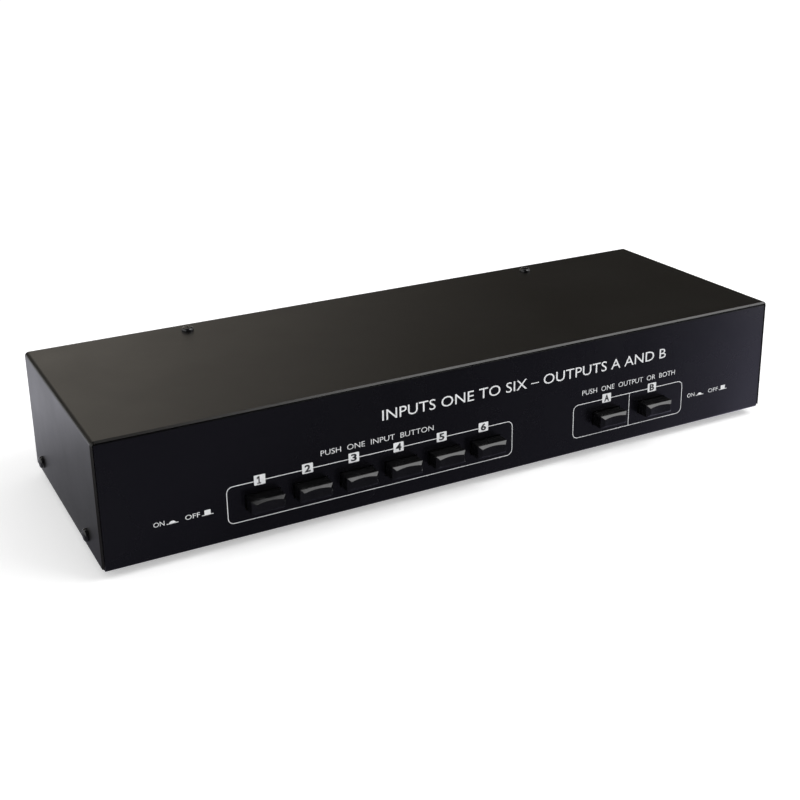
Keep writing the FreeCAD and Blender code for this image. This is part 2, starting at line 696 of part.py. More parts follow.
def make_springs():
    """A return spring round each plunger, and a small one at the latch bar's end."""
    seat = "spring_wire + spring_ease"
    spring = make_spring("spring_pattern", "spring_radius", "spring_pitch", "spring_room")
    start = f"panel_y + cap_back + {seat}"
    springs = [
        copy_of(spring, f"spring_{name}", x, start, "button_z", turn=((1, 0, 0), -90))
        for name, x in BUTTONS
    ]
    room = f"bracket_end - sheet_gauge - bar_end - 2 * ({seat})"
    small = make_spring("bar_spring_pattern", "bar_spring_radius", "bar_spring_pitch", room)
    x = f"{input_x(len(INPUTS) - 1)} + bar_end + {seat}"
    y = "panel_y + bar_start + bar_gauge / 2"
    springs.append(copy_of(small, "spring_bar", x, y, "button_z", turn=((0, 1, 0), 90)))
    return group("switch_springs", springs)


# ---------------------------------------------------------------- terminals
# Each of the eight stereo pairs has four spring clips: left channel above and right channel
# below, red for plus and black for minus. Pressing a lever opens its contact for a bare wire.

ROWS = (("left", "upper_pivot", "upper_tail"), ("right", "lower_pivot", "lower_tail"))
COLUMNS = (("black", -0.5), ("red", 0.5))


def terminals():
    """Name, row and place of every terminal's pivot."""
    for index, pair in enumerate(INPUTS + OUTPUTS):
        block = block_places()[index // 2]
        for row, pivot, tail in ROWS:
            for colour, step in COLUMNS:
                x = f"{block} + {2 * (index % 2) - 1 + step} * column_pitch"
                yield f"{pair}_{row}_{colour}", row, (x, "back_y + pivot_out", f"block_z + {pivot}")


def make_terminal_housings():
    """Moulded blocks in the rear wall, with a slot, a cell and a wire hole for each terminal."""
    block = new_body("terminal_housing_pattern")
    flange = pad(rectangle(sketch(block, "XZ"), 0, 0, "block_width", "block_height"), "block_flange")
    ease_edges(
        flange, "Fillet", lambda edge: is_at(edge, y="block_flange / 2"), Radius="block_corner",
    )
    pad(rectangle(sketch(block, "XZ"), 0, 0, "core_width", "core_height"), "block_proud")
    pad(rectangle(sketch(block, "XZ"), 0, 0, "core_width", "core_height"), "block_inside", towards=-1)
    slots = sketch(block, "XZ", at="block_proud")
    cells = sketch(block, "XZ", at="-block_inside")
    holes = sketch(block, "XZ", at="block_proud")
    for step in FOUR_PLACES:
        for row, pivot, tail in ROWS:
            column = f"{step} * column_pitch"
            high = "slot_above + slot_below"
            rectangle(slots, column, f"{pivot} + (slot_above - slot_below) / 2", "slot_width", high)
            deep = "slot_above + cell_below"
            rectangle(cells, column, f"{pivot} + (slot_above - cell_below) / 2", "slot_width", deep)
            circle(holes, column, f"{pivot} - wire_below", "wire_radius")
    pocket(slots, "block_proud + block_inside", towards=-1)
    pocket(cells, "block_inside - cell_inside")
    drilled = pocket(holes, "block_proud + cell_inside", towards=-1)
    ease_edges(
        drilled, "Chamfer", lambda edge: is_at(edge, y="block_proud") and is_ring(edge, "wire_radius"),
        Size="wire_chamfer",
    )
    pivots = sketch(block, "YZ")
    for row, pivot, tail in ROWS:
        circle(pivots, "pivot_out", pivot, "pivot_radius + pivot_ease")
    pocket(pivots, "core_width - 2 * pivot_length", towards="both")
    screws = sketch(block, "XZ", at="block_flange")
    for side in SIDES:
        circle(screws, f"{side} * block_screw", 0, "screw_hole")
    pocket(screws, "block_flange", towards=-1)
    return group("terminal_housings", [
        copy_of(block, f"terminal_housing_{index}", x, "back_y", "block_z")
        for index, x in enumerate(block_places(), start=1)
    ])


def tab_top(y):
    """Height of the tab's straight top at a distance from the pivot."""
    return f"(tab_start_top + ({y} - tab_start) * (lip_foot - tab_start_top) / (lip_start - tab_start))"


def make_lever():
    """A moulded lever on two stubs. Its forked inner end opens the contact as the tab goes down."""
    lever = new_body("lever_pattern")
    corners = [("tab_start", "tab_start_top")]
    for i in range(int(value("groove_count"))):
        y = f"(groove_first + {i} * groove_pitch)"
        corners.append((y, tab_top(y)))
        corners.append((f"{y} + groove_depth", f"{tab_top(y)} - groove_depth"))
        corners.append((f"{y} + 2 * groove_depth", tab_top(f"{y} + 2 * groove_depth")))
    corners += [
        ("lip_start", "lip_foot"), ("tab_tip - lip_width", "lip_top"), ("tab_tip", "lip_top"),
        ("tab_tip", "tip_under"), ("knee_out", "knee_under"), ("belly_out", "-belly_under"),
        ("-prong_front", "-belly_under"), ("-prong_front", "-prong_end"), ("-prong_back", "-prong_end"),
        ("-prong_back", "shoulder_top"), ("-hump_in", "hump_top"),
    ]
    shape = pad(outline(sketch(lever, "YZ"), corners), "lever_width", towards="both")
    ease_edges(
        shape, "Fillet", lambda edge: is_at(edge, y="tab_tip", z="(lip_top + tip_under) / 2"),
        Radius="lever_corner",
    )
    stubs = circle(sketch(lever, "YZ"), 0, 0, "pivot_radius")
    pad(stubs, "lever_width + 2 * pivot_length", towards="both")
    fork = sketch(lever, "XZ")
    outline(fork, [
        ("-fork_gap / 2", "-cell_below"), ("fork_gap / 2", "-cell_below"),
        ("fork_gap / 2", "-wire_below / 2"), ("-fork_gap / 2", "-wire_below / 2"),
    ])
    pocket(fork, "2 * lever_reach", towards="both")
    return lever


def make_contact(row, pivot, tail):
    """A leaf with a window for the wire, a foot on the cell's floor and a tail to the board."""
    contact = new_body(f"contact_{row}_pattern")
    leaf_y = "-prong_back - contact_gap"
    low = "-cell_below"
    strip = sketch(contact, "YZ")
    outline(strip, [
        (leaf_y, 0), (leaf_y, low), (f"-{tail}", low), (f"-{tail}", f"{low} + contact_gauge"),
        (f"{leaf_y} - contact_gauge", f"{low} + contact_gauge"), (f"{leaf_y} - contact_gauge", 0),
    ])
    pad(strip, "contact_width", towards="both")
    end = f"board_z - pin_below - block_z - {pivot}"
    run = sketch(contact, "YZ")
    outline(run, [
        (f"-{tail}", f"{low} + contact_gauge"), (f"-{tail} - contact_gauge", f"{low} + contact_gauge"),
        (f"-{tail} - contact_gauge", end), (f"-{tail}", end),
    ])
    pad(run, "tail_width", towards="both")
    window = sketch(contact, "XZ")
    rectangle(window, 0, "-wire_below + contact_gauge", "contact_window", "contact_window")
    pocket(window, "2 * block_inside", towards="both")
    return contact


# ---------------------------------------------------------------- circuit board


def make_board(pinned):
    """The board, pierced by everything that goes through it."""
    blank = bind(
        doc.addObject("Part::Box", "board_blank"),
        Length="2 * board_side", Width="tray_depth - board_front - board_rear", Height="board_gauge",
    )
    place(blank, "-board_side", "panel_y + board_front", "board_z")
    pins = doc.addObject("Part::Compound", "board_pins")
    pins.Links = pinned
    board = doc.addObject("Part::Cut", "main_board")
    board.Base = blank
    board.Tool = pins
    return node(board, "main_board")


# ---------------------------------------------------------------- put together

make_cover()
make_tray()
make_feet()
screw = make_screw()
make_case_screws(screw)
board_screws = make_board_screws(screw)
cap = make_cap()
plunger = make_plunger()
for name, x in BUTTONS:
    node(copy_of(cap, "button_cap_" + name, x, "panel_y", "button_z"), "button_cap_" + name)
    node(copy_of(plunger, "plunger_" + name, x, "panel_y", "button_z"), "plunger_" + name)
housings = make_switch_housings()
make_brackets()
make_latch_bar()
make_springs()
make_terminal_housings()
lever = make_lever()
contact = {row: make_contact(row, pivot, tail) for row, pivot, tail in ROWS}
contacts = []
for name, row, spot in terminals():
    node(copy_of(lever, "lever_" + name, *spot), "lever_" + name)
    contacts.append(copy_of(contact[row], "contact_" + name, *spot))
make_board([housings, group("terminal_contacts", contacts), board_screws])
doc.recompute()

# ---------------------------------------------------------------- checks, then files

for thing in doc.Objects:
    if "Invalid" in thing.State or "Error" in thing.State:
        raise SystemExit(f"{thing.Label} failed: {thing.State}")
    if thing.isDerivedFrom("PartDesign::Feature") and thing.Shape.Volume < TOUCH:
        raise SystemExit(f"{thing.Label} is empty")
    if thing.TypeId == "PartDesign::Pocket":
        before = thing.BaseFeature.Shape.Volume
        if thing.Shape.Volume > before - TOUCH:
            raise SystemExit(f"{thing.Label} cuts nothing")
for thing in nodes:
    if thing.Shape.isNull() or not thing.Shape.isValid():
        raise SystemExit(f"{thing.Label} has no valid shape")

os.makedirs("parts", exist_ok=True)
for thing in nodes:
    thing.Shape.exportStep(os.path.join("parts", thing.Label + ".step"))
    print(f"{thing.Label}: {len(thing.Shape.Solids)} solids, {thing.Shape.Volume:.0f} mm3")
print(f"{len(nodes)} sub-parts")
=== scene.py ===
import math
import bmesh
import bpy
from mathutils import Matrix, Vector


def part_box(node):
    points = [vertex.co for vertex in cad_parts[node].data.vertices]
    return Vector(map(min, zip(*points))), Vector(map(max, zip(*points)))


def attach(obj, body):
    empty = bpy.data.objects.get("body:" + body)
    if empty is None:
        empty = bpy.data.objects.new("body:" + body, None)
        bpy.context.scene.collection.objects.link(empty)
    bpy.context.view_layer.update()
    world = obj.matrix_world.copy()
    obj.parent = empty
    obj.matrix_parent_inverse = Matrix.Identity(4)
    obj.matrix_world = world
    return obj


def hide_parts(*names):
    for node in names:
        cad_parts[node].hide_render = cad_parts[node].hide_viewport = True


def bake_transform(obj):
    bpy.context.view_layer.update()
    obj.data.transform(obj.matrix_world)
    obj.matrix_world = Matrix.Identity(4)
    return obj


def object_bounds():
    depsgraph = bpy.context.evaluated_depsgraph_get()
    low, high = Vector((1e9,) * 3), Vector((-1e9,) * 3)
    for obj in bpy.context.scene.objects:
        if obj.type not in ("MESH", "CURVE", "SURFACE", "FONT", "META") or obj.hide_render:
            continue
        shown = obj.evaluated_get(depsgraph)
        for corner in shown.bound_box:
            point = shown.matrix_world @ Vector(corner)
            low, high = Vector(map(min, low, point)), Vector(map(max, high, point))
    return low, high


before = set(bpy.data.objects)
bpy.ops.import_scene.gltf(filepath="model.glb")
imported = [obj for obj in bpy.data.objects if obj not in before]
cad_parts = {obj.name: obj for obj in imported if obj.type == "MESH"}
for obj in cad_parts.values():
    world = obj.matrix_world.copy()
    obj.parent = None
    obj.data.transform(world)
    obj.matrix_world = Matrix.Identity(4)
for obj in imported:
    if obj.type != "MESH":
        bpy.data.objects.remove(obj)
cad_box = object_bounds()
MM = 0.001

# ---------------------------------------------------------------- camera
# It stands in front and to the left of the switch, a little above it, and looks down along it.
# A small shift of the lens keeps the case's upright edges close to parallel.

AIM = Vector((-0.0005, 0.0097, 0.0636))
AZIMUTH, ELEVATION, ROLL = math.radians(-27.491), math.radians(18.906), math.radians(-0.964)
DISTANCE = 0.6440
LENS = 56.49  # mm, on a sensor 36 mm wide
RISE = -0.10  # the lens's shift, as a share of the sensor's width

level = math.cos(ELEVATION)
backwards = Vector((math.sin(AZIMUTH) * level, -math.cos(AZIMUTH) * level, math.sin(ELEVATION)))
rightwards = Vector((0, 0, 1)).cross(backwards).normalized()
upwards = backwards.cross(rightwards)
rolled_right = math.cos(ROLL) * rightwards + math.sin(ROLL) * upwards
rolled_up = math.cos(ROLL) * upwards - math.sin(ROLL) * rightwards
bpy.ops.object.camera_add(location=AIM + backwards * DISTANCE)
camera = bpy.context.object
camera.rotation_euler = Matrix((rolled_right, rolled_up, backwards)).transposed().to_euler()
camera.data.lens = LENS
camera.data.shift_y = RISE
bpy.context.scene.camera = camera

# ---------------------------------------------------------------- chassis tray
# One folded sheet of steel: bottom, front wall and rear wall, with windows punched for the
# buttons and the terminals. It is dipped and baked in a smooth, slightly shiny black enamel.

PUNCHED_EDGE = 0.12 * MM  # rounding that the paint leaves on a punched edge
TRAY_BEND = 1.6 * MM
BEND_SQUARENESS = 0.35  # 1 is a round bend, and less is nearer to a sharp corner
SAME_PLACE = 0.01 * MM  # places nearer than this count as one
MERGE_REACH = 0.002 * MM  # points of a node's mesh that are nearer than this become one
FLAT_ANGLE = 0.5  # degrees between faces that become one face
SHARP_ANGLE = 35  # degrees between faces from which their edge is sharp


def take(piece):
    """Make a piece the only one that is selected."""
    bpy.ops.object.select_all(action="DESELECT")
    piece.select_set(True)
    bpy.context.view_layer.objects.active = piece
    return piece


def put(step):
    """A modifier of the chosen piece, applied."""
    bpy.ops.object.modifier_apply(modifier=step.name)


def smooth(piece, angle=SHARP_ANGLE):
    """Smooth shading that breaks at sharp edges and keeps broad faces flat."""
    take(piece)
    bpy.ops.object.shade_smooth_by_angle(angle=math.radians(angle))
    flatness = piece.modifiers.new("flatness", "WEIGHTED_NORMAL")
    flatness.keep_sharp = True
    put(flatness)


def new_copy(name, model):
    """A copy of a node or piece, with a mesh of its own."""
    piece = bpy.data.objects.new(name, model.data.copy())
    bpy.context.scene.collection.objects.link(piece)
    return piece


def merged_copy(name, node):
    """A copy of a node with its triangles joined, all selected in edit mode."""
    piece = take(new_copy(name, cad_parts[node]))
    bpy.ops.mesh.customdata_custom_splitnormals_clear()
    bpy.ops.object.mode_set(mode="EDIT")
    bpy.ops.mesh.select_all(action="SELECT")
    bpy.ops.mesh.remove_doubles(threshold=MERGE_REACH)
    return piece


def coat(piece, finish):
    """Put one finish all over a piece."""
    piece.data.materials.clear()
    piece.data.materials.append(finish)


def dress(piece, body, slot, finish, *nodes):
    """Give a piece its finish, let it ride on a body and let it stand for its nodes."""
    coat(piece, finish)
    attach(piece, body)
    if nodes:
        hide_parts(*nodes)


def eased(node, name, body, slot, finish, edge, shape_first=None):
    """A node's own shape with its sharp edges rounded, which stands in its place."""
    piece = merged_copy(name, node)
    bpy.ops.mesh.dissolve_limited(angle_limit=math.radians(FLAT_ANGLE))
    if shape_first:
        shape_first()
    bpy.ops.object.mode_set(mode="OBJECT")
    rounding = piece.modifiers.new("rounding", "BEVEL")
    rounding.width = edge
    rounding.segments = 2
    rounding.limit_method = "ANGLE"
    rounding.angle_limit = math.radians(SHARP_ANGLE)
    put(rounding)
    smooth(piece)
    dress(piece, body, slot, finish, node)


def new_group(name, inputs, outputs):
    """An empty shader group with its sockets, and its two end nodes."""
    made = bpy.data.node_groups.new(name, "ShaderNodeTree")
    for label, kind, plain in inputs:
        socket = made.interface.new_socket(label, in_out="INPUT", socket_type="NodeSocket" + kind)
        socket.default_value = plain
    for label, kind in outputs:
        made.interface.new_socket(label, in_out="OUTPUT", socket_type="NodeSocket" + kind)
    return made, made.nodes.new("NodeGroupInput"), made.nodes.new("NodeGroupOutput")


def join_up(tree, *pairs):
    """Link each pair of sockets in a node tree."""
    for start, end in pairs:
        tree.links.new(start, end)


# Grain and patches: a fine relief in the surface, and broad patches in its colour and its shine.
surface_group, given, got = new_group(
    "grain_and_patches",
    (("Colour", "Color", (0.5, 0.5, 0.5, 1)), ("Patch Colour", "Color", (0.5, 0.5, 0.5, 1)),
     ("Least Rough", "Float", 0.3), ("Most Rough", "Float", 0.5), ("Grain Size", "Float", 0.0005),
     ("Grain Depth", "Float", 0.00001), ("Patch Size", "Float", 0.03)),
    (("Colour", "Color"), ("Roughness", "Float"), ("Normal", "Vector")),
)
where = surface_group.nodes.new("ShaderNodeTexCoord")
fine_scale = surface_group.nodes.new("ShaderNodeMath")
broad_scale = surface_group.nodes.new("ShaderNodeMath")
for scale in (fine_scale, broad_scale):
    scale.operation = "DIVIDE"
    scale.inputs[0].default_value = 1
fine = surface_group.nodes.new("ShaderNodeTexNoise")
fine.inputs["Detail"].default_value = 3
broad = surface_group.nodes.new("ShaderNodeTexNoise")
broad.inputs["Detail"].default_value = 5
broad.inputs["Roughness"].default_value = 0.6
contrast = surface_group.nodes.new("ShaderNodeMapRange")
contrast.inputs["From Min"].default_value = 0.35
contrast.inputs["From Max"].default_value = 0.65
shine = surface_group.nodes.new("ShaderNodeMapRange")
blended = surface_group.nodes.new("ShaderNodeMix")
blended.data_type = "RGBA"
relief = surface_group.nodes.new("ShaderNodeBump")
relief.inputs["Strength"].default_value = 1
join_up(
    surface_group,
    (given.outputs["Grain Size"], fine_scale.inputs[1]),
    (given.outputs["Patch Size"], broad_scale.inputs[1]),
    (where.outputs["Object"], fine.inputs["Vector"]),
    (where.outputs["Object"], broad.inputs["Vector"]),
    (fine_scale.outputs[0], fine.inputs["Scale"]),
    (broad_scale.outputs[0], broad.inputs["Scale"]),
    (broad.outputs["Fac"], contrast.inputs["Value"]),
    (contrast.outputs["Result"], shine.inputs["Value"]),
    (given.outputs["Least Rough"], shine.inputs["To Min"]),
    (given.outputs["Most Rough"], shine.inputs["To Max"]),
    (contrast.outputs["Result"], blended.inputs["Factor"]),
    (given.outputs["Colour"], blended.inputs["A"]),
    (given.outputs["Patch Colour"], blended.inputs["B"]),
    (fine.outputs["Fac"], relief.inputs["Height"]),
    (given.outputs["Grain Depth"], relief.inputs["Distance"]),
    (blended.outputs["Result"], got.inputs["Colour"]),
    (shine.outputs["Result"], got.inputs["Roughness"]),
    (relief.outputs["Normal"], got.inputs["Normal"]),
)


def new_finish(name, colour, patch, rough, grain, depth, patches, specular=0.5, metal=0.0):
    """A material with the grain and patches of one finish. Sizes are in millimetres."""
    made = bpy.data.materials.new(name)
    made.use_nodes = True
    tree = made.node_tree
    shader = tree.nodes["Principled BSDF"]
    shader.inputs["Metallic"].default_value = metal
    shader.inputs["Specular IOR Level"].default_value = specular
    surface = tree.nodes.new("ShaderNodeGroup")
    surface.name = "surface"
    surface.node_tree = surface_group
    settings = {
        "Colour": (*colour, 1), "Patch Colour": (*patch, 1), "Least Rough": rough[0], "Most Rough": rough[1],
        "Grain Size": grain * MM, "Grain Depth": depth * MM, "Patch Size": patches * MM,
    }
    for label, setting in settings.items():
        surface.inputs[label].default_value = setting
    join_up(
        tree,
        (surface.outputs["Colour"], shader.inputs["Base Color"]),
        (surface.outputs["Roughness"], shader.inputs["Roughness"]),
        (surface.outputs["Normal"], shader.inputs["Normal"]),
    )
    return made


enamel = new_finish(
    "black_enamel", (0.0018, 0.0017, 0.0028), (0.0024, 0.0023, 0.0036), (0.22, 0.30),
    grain=1.1, depth=0.012, patches=45,
)
tray_low, tray_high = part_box("chassis_tray")


def tighten_top_bend():
    """The front wall stands flat almost up to the cover, because its top bend is pressed tight."""
    centre_y, centre_z = tray_low.y + TRAY_BEND, tray_high.z - TRAY_BEND
    shape = bmesh.from_edit_mesh(bpy.context.object.data)
    for point in shape.verts:
        out = Vector((centre_y - point.co.y, point.co.z - centre_z))
        radius = out.length
        if min(out) > 0 and radius < TRAY_BEND + SAME_PLACE:
            point.co.y = centre_y - radius * (out.x / radius) ** BEND_SQUARENESS
            point.co.z = centre_z + radius * (out.y / radius) ** BEND_SQUARENESS
    bmesh.update_edit_mesh(bpy.context.object.data)


eased(
    "chassis_tray", "folded_tray", "case", "panel_paint", enamel, PUNCHED_EDGE, shape_first=tighten_top_bend,
)

# ---------------------------------------------------------------- printing on the front panel
# White screen-printed ink on the enamel: a frame round each row of buttons, a box with a dark
# number or letter over each button, captions, and the signs for a button that is in or out.

INK = 0.03 * MM  # thickness of a printed layer; one that lies on another is drawn thicker
LINE = 0.33 * MM  # width of a printed line
FRAME_LOW, FRAME_HIGH, FRAME_CORNER = 12 * MM, 30 * MM, 3 * MM
INPUT_FRAME = (-124 * MM, 22 * MM)
OUTPUT_FRAME = (57.5 * MM, 126 * MM)
INPUT_PLACES = {str(i + 1): (-108.4 + 22.8 * i) * MM for i in range(6)}
OUTPUT_PLACES = {"A": 77.7 * MM, "B": 106.1 * MM}
BOX_WIDTH, BOX_HEIGHT, BOX_MIDDLE, BOX_CORNER = 5.3 * MM, 4.7 * MM, 30.2 * MM, 0.35 * MM
NUMERAL_HALF, NUMERAL_HEIGHT, NUMERAL_WEIGHT = 1.45 * MM, 3.6 * MM, 0.035
# Each line of words with its left and right end, foot and head in millimetres, and its weight,
# which thickens its strokes, or thins them below zero.
CAPTIONS = (
    ("INPUTS ONE TO SIX – OUTPUTS A AND B", -48, 114, 44.9, 50.1, -0.002),
    ("PUSH  ONE  INPUT  BUTTON", -79, -21.5, 34.5, 37.1, -0.009),
    ("PUSH  ONE  OUTPUT  OR  BOTH", 62.7, 120.6, 34.4, 37.0, -0.007),
)
# The key at both ends of the panel: two words in millimetres from its left end, and two signs.
KEY_LEFTS, KEY_BASE = (-157.1 * MM, 129.6 * MM), 19.4 * MM
KEY_WORDS, KEY_HEIGHT, KEY_WEIGHT = (("ON", 0.2, 5.0), ("OFF", 14.2, 20.8)), 2.2 * MM, -0.006
SIGN_IN_START, SIGN_OUT_START = 5.9 * MM, 21.6 * MM
SIGN_WIDTH, SIGN_LINE = 5.2 * MM, 0.3 * MM
DOME_RADIUS, DOME_FLATNESS, DOME_BASE = 1.5 * MM, 0.75, 0.2 * MM
KNOB_LEFT, KNOB_RIGHT, KNOB_TOP = 1.2 * MM, 4.0 * MM, 2.4 * MM
# The 1, in shares of its height: its stem, its flag from the stem's edge, and its foot, which
# reaches to both sides of the middle.
ONE_STEM = 0.16
ONE_FLAG_START, ONE_FLAG_REACH, ONE_FLAG_DROP = 0.7, 0.2, 0.14
ONE_FOOT_BACK, ONE_FOOT_FORTH, ONE_FOOT_HEIGHT = 0.34, 0.18, 0.13
ONE_FOOT_THINNER = 0.9  # the foot's layer is thinner than the stem's, so that no two faces are in one plane
FRONT, REAR = 1, -1

white_ink = new_finish(
    "white_ink", (0.90, 0.91, 0.92), (0.80, 0.81, 0.82), (0.5, 0.6), grain=0.25, depth=0.004, patches=6,
)
dark_ink = new_finish(
    "dark_ink", (0.010, 0.010, 0.012), (0.016, 0.016, 0.018), (0.4, 0.5), grain=0.25, depth=0.004, patches=6,
)


def corners(piece):
    """Lowest and highest corner of a piece's mesh."""
    places = [point.co for point in piece.data.vertices]
    return (Vector(min(p[i] for p in places) for i in range(3)),
            Vector(max(p[i] for p in places) for i in range(3)))


def ink_layer(piece, thickness=INK):
    """Give flat printing its thickness, out from the wall."""
    take(piece)
    layer = piece.modifiers.new("layer", "SOLIDIFY")
    layer.thickness = thickness
    layer.offset = 1
    put(layer)
    return piece


def choose(kind, wanted):
    """In edit mode, select only the faces, edges or points that are wanted."""
    bpy.ops.mesh.select_all(action="DESELECT")
    bpy.ops.mesh.select_mode(type={"faces": "FACE", "edges": "EDGE", "verts": "VERT"}[kind])
    shape = bmesh.from_edit_mesh(bpy.context.object.data)
    for part in getattr(shape, kind):
        if wanted(part):
            part.select_set(True)
    shape.select_flush_mode()
    bmesh.update_edit_mesh(bpy.context.object.data)


def near(a, b, reach=SAME_PLACE):
    """Whether two lengths are the same."""
    return abs(a - b) < reach


def flat(left, right, low, high, wall_y, side=FRONT):
    """A flat rectangle on the front or rear wall, facing outwards."""
    middle = ((left + right) / 2, wall_y, (low + high) / 2)
    bpy.ops.mesh.primitive_plane_add(size=1, location=middle, rotation=(side * math.pi / 2, 0, 0))
    piece = bpy.context.object
    piece.scale = (right - left, high - low, 1)
    bpy.ops.object.transform_apply()
    return piece


def round_corners(piece, radius, segments):
    """Round the corners of a flat piece."""
    bpy.ops.object.mode_set(mode="EDIT")
    bpy.ops.mesh.select_all(action="SELECT")
    bpy.ops.mesh.bevel(offset=radius, segments=segments, affect="VERTICES")
    bpy.ops.object.mode_set(mode="OBJECT")
    return piece


def printed_frame(left, right):
    """A line round a row of buttons, with round corners."""
    piece = round_corners(flat(left, right, FRAME_LOW, FRAME_HIGH, tray_low.y), FRAME_CORNER, 8)
    bpy.ops.object.mode_set(mode="EDIT")
    bpy.ops.mesh.select_all(action="SELECT")
    bpy.ops.mesh.inset(thickness=LINE)
    bpy.ops.mesh.delete(type="FACE")
    bpy.ops.object.mode_set(mode="OBJECT")
    return ink_layer(piece)


def printed_bar(left, right, low, high):
    """A plain bar on the front wall."""
    return ink_layer(flat(left, right, low, high, tray_low.y))


def printed_words(words, left, right, low, high, weight, wall_y=tray_low.y, side=FRONT, thickness=INK):
    """Letters that fill a space on the front or rear wall."""
    bpy.ops.object.text_add(rotation=(math.pi / 2, 0, 0 if side == FRONT else math.pi))
    piece = bpy.context.object
    piece.data.body = words
    piece.data.offset = weight
    piece.data.extrude = 0.001  # any depth does, because the letters are scaled to their space
    piece.data.resolution_u = 3
    bpy.ops.object.convert(target="MESH")
    bpy.ops.object.transform_apply()
    start, end = corners(piece)
    span = end - start
    piece.scale = ((right - left) / span.x, thickness / span.y, (high - low) / span.z)
    bpy.ops.object.transform_apply()
    layer_front = wall_y - thickness if side == FRONT else wall_y
    piece.location = Vector((left, layer_front, low)) - corners(piece)[0]
    bpy.ops.object.transform_apply()
    return piece


def sign_in(left, base):
    """The sign for a button pressed in: a low dome on a line."""
    line = printed_bar(left, left + SIGN_WIDTH, base, base + SIGN_LINE)
    bpy.ops.mesh.primitive_circle_add(
        vertices=24, radius=DOME_RADIUS, fill_type="NGON", rotation=(math.pi / 2, 0, 0),
        location=(left + SIGN_WIDTH / 2, tray_low.y, base + DOME_BASE),
    )
    dome = bpy.context.object
    dome.scale = (1, DOME_FLATNESS, 1)
    bpy.ops.object.transform_apply()
    bpy.ops.object.mode_set(mode="EDIT")
    bpy.ops.mesh.select_all(action="SELECT")
    bpy.ops.mesh.bisect(
        plane_co=(0, 0, base + DOME_BASE), plane_no=(0, 0, 1), clear_inner=True, use_fill=False,
    )
    bpy.ops.object.mode_set(mode="OBJECT")
    return [line, ink_layer(dome)]


def sign_out(left, base):
    """The sign for a button standing out: a knob on a line."""
    return [
        printed_bar(left, left + SIGN_WIDTH, base, base + SIGN_LINE),
        printed_bar(left + KNOB_LEFT, left + KNOB_RIGHT, base + SIGN_LINE, base + KNOB_TOP),
    ]


def join_pieces(name, pieces):
    """Make one piece of several."""
    bpy.ops.object.select_all(action="DESELECT")
    for piece in pieces:
        piece.select_set(True)
    bpy.context.view_layer.objects.active = pieces[0]
    bpy.ops.object.join()
    joined = bpy.context.object
    joined.name = joined.data.name = name
    return joined


def numeral(label, middle, half, base, height, weight, wall_y=tray_low.y, side=FRONT, thickness=3 * INK):
    """A number or letter. The 1 is drawn with a flag and a foot, so that it isn't read as an I."""
    if label != "1":
        space = (middle - half, middle + half, base, base + height)
        return [printed_words(label, *space, weight, wall_y, side, thickness)]
    edge_x = middle - side * ONE_STEM * height
    stem = flat(*sorted((middle, edge_x)), base, base + height, wall_y, side)
    bpy.ops.object.mode_set(mode="EDIT")
    choose("edges", lambda edge: all(near(end.co.x, edge_x) for end in edge.verts))
    bpy.ops.mesh.subdivide(number_cuts=3)
    choose("edges", lambda edge: all(
        near(end.co.x, edge_x) and end.co.z > base + ONE_FLAG_START * height for end in edge.verts
    ))
    flag = (-side * ONE_FLAG_REACH * height, 0, -ONE_FLAG_DROP * height)
    bpy.ops.mesh.extrude_region_move(TRANSFORM_OT_translate={"value": flag})
    bpy.ops.object.mode_set(mode="OBJECT")
    foot_ends = (middle - side * ONE_FOOT_BACK * height, middle + side * ONE_FOOT_FORTH * height)
    foot = flat(*sorted(foot_ends), base, base + ONE_FOOT_HEIGHT * height, wall_y, side)
    return [ink_layer(stem, thickness), ink_layer(foot, ONE_FOOT_THINNER * thickness)]


print_white = [printed_frame(*INPUT_FRAME), printed_frame(*OUTPUT_FRAME)]
divider = (OUTPUT_PLACES["A"] + OUTPUT_PLACES["B"]) / 2
print_white.append(printed_bar(divider - LINE / 2, divider + LINE / 2, FRAME_LOW + LINE, FRAME_HIGH - LINE))
for words, *ends, weight in CAPTIONS:
    print_white.append(printed_words(words, *(end * MM for end in ends), weight))
for left in KEY_LEFTS:
    for word, start, end in KEY_WORDS:
        print_white.append(printed_words(
            word, left + start * MM, left + end * MM, KEY_BASE, KEY_BASE + KEY_HEIGHT, KEY_WEIGHT,
        ))
    print_white += sign_in(left + SIGN_IN_START, KEY_BASE)
    print_white += sign_out(left + SIGN_OUT_START, KEY_BASE)
print_dark = []
for label, x in {**INPUT_PLACES, **OUTPUT_PLACES}.items():
    box = flat(
        x - BOX_WIDTH / 2, x + BOX_WIDTH / 2, BOX_MIDDLE - BOX_HEIGHT / 2, BOX_MIDDLE + BOX_HEIGHT / 2,
        tray_low.y,
    )
    print_white.append(ink_layer(round_corners(box, BOX_CORNER, 3), 2 * INK))
    print_dark += numeral(
        label, x, NUMERAL_HALF, BOX_MIDDLE - NUMERAL_HEIGHT / 2, NUMERAL_HEIGHT, NUMERAL_WEIGHT,
    )
dress(join_pieces("front_printing", print_white), "case", "panel_paint", white_ink)
dress(join_pieces("front_numbers", print_dark), "case", "panel_paint", dark_ink)

# ---------------------------------------------------------------- circuit board
# Brown phenolic board on the tray's pressed posts, with zinc-plated screws. Switch pins and
# terminal tails are soldered into it.

laminate = new_finish(
    "phenolic_board", (0.24, 0.13, 0.05), (0.30, 0.17, 0.07), (0.35, 0.5), grain=0.6, depth=0.01, patches=18,
)
zinc = new_finish(
    "zinc_plate", (0.60, 0.60, 0.58), (0.50, 0.50, 0.47), (0.28, 0.42), grain=0.4, depth=0.004, patches=9,
    metal=1.0,
)


def finish_nodes(finish, *names):
    """The shown nodes keep their own shape and get a finish."""
    for name in names:
        coat(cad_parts[name], finish)


finish_nodes(laminate, "main_board")
finish_nodes(zinc, "board_screws", "switch_brackets")

